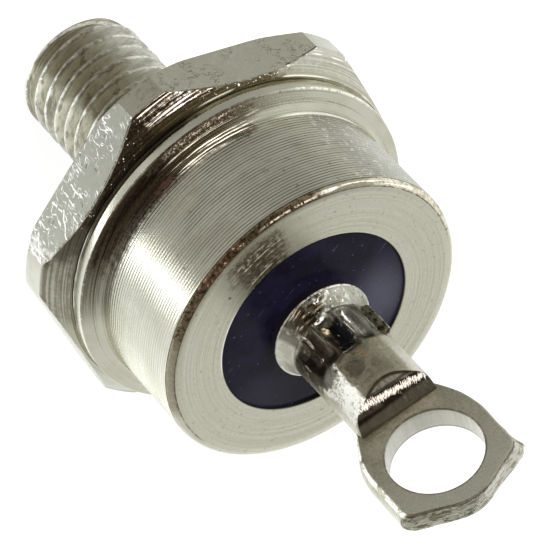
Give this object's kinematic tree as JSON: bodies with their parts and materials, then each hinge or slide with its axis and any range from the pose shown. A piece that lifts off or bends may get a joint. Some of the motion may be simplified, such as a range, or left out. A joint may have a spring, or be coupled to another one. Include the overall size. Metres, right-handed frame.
{
  "type": "rectifier diode",
  "caption": "Stud-mounted power rectifier diode: hexagon base with threaded stud, round metal case, glass seal and crimped solder lug.",
  "frame": {"origin": "centre of the hexagon's flat seating face, on the axis of the stud", "axes": "+Z along the stud's axis towards the lug, the stud points along -Z, the lug plate lies in the XZ plane with its front facing -Y"},
  "size_m": [0.0182, 0.019, 0.033],
  "materials": {
    "base_nickel": "satin nickel plating over copper, scratched and lightly tarnished",
    "ring_steel": "dull, stained braze and weld band",
    "case_nickel": "nickel plated steel with fine turning grooves",
    "seal_glass": "opaque dark blue-violet glass, smooth",
    "sleeve_nickel": "bright nickel plating",
    "tinned_solder": "bright mottled solder with brown flux stains",
    "lug_nickel": "nickel plated copper, satin on the plate, rough on the sheared end",
    "joint_solder": "matte solder",
    "molybdenum": "fine ground",
    "silicon": "polished dark grey",
    "silicone": "cured silicone, translucent off-white",
    "copper": "plain copper",
    "copper_strand": "stranded copper"
  },
  "bodies": {
    "root": {"stud_base": "base_nickel", "weld_ring": "ring_steel", "cap_shell": "case_nickel", "glass_seal": "seal_glass", "terminal_sleeve": "sleeve_nickel", "terminal_solder": "tinned_solder", "terminal_lug": "lug_nickel", "base_solder": "joint_solder", "lower_disc": "molybdenum", "lower_die_solder": "joint_solder", "silicon_die": "silicon", "junction_coating": "silicone", "upper_die_solder": "joint_solder", "upper_disc": "molybdenum", "upper_solder": "joint_solder", "contact_cup": "copper", "inner_lead": "copper_strand"}
  },
  "joints": []
}
